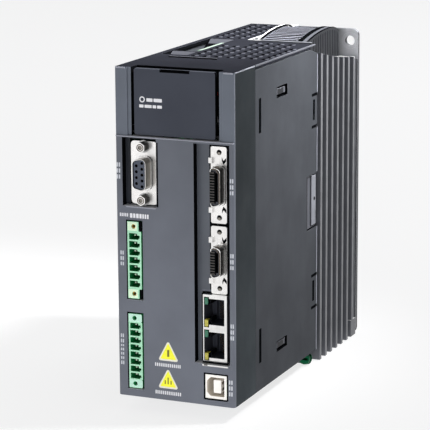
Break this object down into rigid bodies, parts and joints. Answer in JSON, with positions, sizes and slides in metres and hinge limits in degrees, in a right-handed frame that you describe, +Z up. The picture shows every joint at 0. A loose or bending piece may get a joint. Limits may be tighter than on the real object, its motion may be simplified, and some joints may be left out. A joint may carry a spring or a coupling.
{
  "type": "servo drive",
  "caption": "Book-size servo drive with a flip-down keypad door, front signal and network sockets, a finned heat sink with a hooded fan, and a wall plate.",
  "frame": {"origin": "middle of the wall plate's back face, where it lies on the cabinet wall", "axes": "+Y back into the wall, -Y the front panel's side, +Z up, +X to the right seen from the front"},
  "size_m": [0.06, 0.1731, 0.1683],
  "materials": {
    "shell_grey": "fine spark-eroded moulding texture, satin",
    "door_grey": "fine moulding texture, satin",
    "cover_grey": "moulding texture, satin",
    "black_plastic": "satin black moulding",
    "fin_aluminium": "dark extrusion finish with draw lines",
    "plate_aluminium": "bright satin plate",
    "nickel": "nickel plate, slightly worn",
    "steel": "ground pin",
    "mint_plastic": "translucent green polyamide",
    "insert_blue": "blue-grey moulded insert",
    "led_green": "clear green lens",
    "led_yellow": "clear yellow lens",
    "lamp_red": "clear red lens",
    "usb_white": "warm white moulding",
    "key_grey": "light grey keycaps",
    "board_green": "green solder resist",
    "capacitor_sleeve": "shrink sleeve",
    "winding_tape": "polyester winding tape",
    "ferrite": "wound ferrite ring",
    "screw_green": "green lacquered steel",
    "window_red": "dark red display window"
  },
  "bodies": {
    "drive": {"activity_lamp_lower": "led_yellow", "activity_lamp_upper": "led_yellow", "bottom_cover": "cover_grey", "bridge_rectifier": "black_plastic", "bus_capacitor_lower": "capacitor_sleeve", "bus_capacitor_upper": "capacitor_sleeve", "charge_lamp": "lamp_red", "command_port_insert": "black_plastic", "command_port_shell": "nickel", "common_mode_choke": "ferrite", "control_board": "board_green", "display_board": "board_green", "display_module": "window_red", "door_hinge_pin": "steel", "encoder_port_insert": "insert_blue", "encoder_port_shell": "nickel", "encoder_post_lower": "nickel", "encoder_post_upper": "nickel", "fan_frame": "black_plastic", "fan_hood": "black_plastic", "feedback_port_insert": "black_plastic", "feedback_port_shell": "nickel", "front_shell": "shell_grey", "ground_screw_left": "screw_green", "ground_screw_right": "screw_green", "heat_sink": "fin_aluminium", "inner_frame": "black_plastic", "inrush_relay": "black_plastic", "interface_board": "board_green", "io_header": "mint_plastic", "keypad_panel": "black_plastic", "left_insulation_sheet": "black_plastic", "left_side_cover": "cover_grey", "link_lamp_lower": "led_green", "link_lamp_upper": "led_green", "motor_output_header": "mint_plastic", "network_port_block": "nickel", "power_board": "board_green", "power_input_header": "mint_plastic", "power_module": "black_plastic", "right_insulation_sheet": "black_plastic", "right_side_cover": "cover_grey", "safety_header": "mint_plastic", "switching_transformer": "winding_tape", "top_vent_cover": "cover_grey", "usb_port_shell": "usb_white", "usb_port_tongue": "usb_white", "wall_plate": "plate_aluminium"},
    "door": {"display_door": "door_grey"},
    "fan": {"fan_rotor": "black_plastic"},
    "key_mode_cap": {"key_mode": "key_grey"},
    "key_shift_cap": {"key_shift": "key_grey"},
    "key_up_cap": {"key_up": "key_grey"},
    "key_down_cap": {"key_down": "key_grey"},
    "key_set_cap": {"key_set": "key_grey"}
  },
  "joints": [
    {"name": "door_hinge", "type": "hinge", "parent": "drive", "child": "door", "pos_m": [0, -0.1671, 0.0523], "axis": [1, 0, 0], "range_deg": [0, 100]},
    {"name": "fan_spin", "type": "hinge", "parent": "drive", "child": "fan", "pos_m": [0.0113, -0.037, 0.0725], "axis": [0, 0, 1], "continuous": true},
    {"name": "key_mode_press", "type": "slide", "parent": "drive", "child": "key_mode_cap", "axis": [0, 1, 0], "range_m": [0, 0.0005], "stiffness_N_per_m": 800, "springref_m": -0.0003},
    {"name": "key_shift_press", "type": "slide", "parent": "drive", "child": "key_shift_cap", "axis": [0, 1, 0], "range_m": [0, 0.0005], "stiffness_N_per_m": 800, "springref_m": -0.0003},
    {"name": "key_up_press", "type": "slide", "parent": "drive", "child": "key_up_cap", "axis": [0, 1, 0], "range_m": [0, 0.0005], "stiffness_N_per_m": 800, "springref_m": -0.0003},
    {"name": "key_down_press", "type": "slide", "parent": "drive", "child": "key_down_cap", "axis": [0, 1, 0], "range_m": [0, 0.0005], "stiffness_N_per_m": 800, "springref_m": -0.0003},
    {"name": "key_set_press", "type": "slide", "parent": "drive", "child": "key_set_cap", "axis": [0, 1, 0], "range_m": [0, 0.0005], "stiffness_N_per_m": 800, "springref_m": -0.0003}
  ]
}
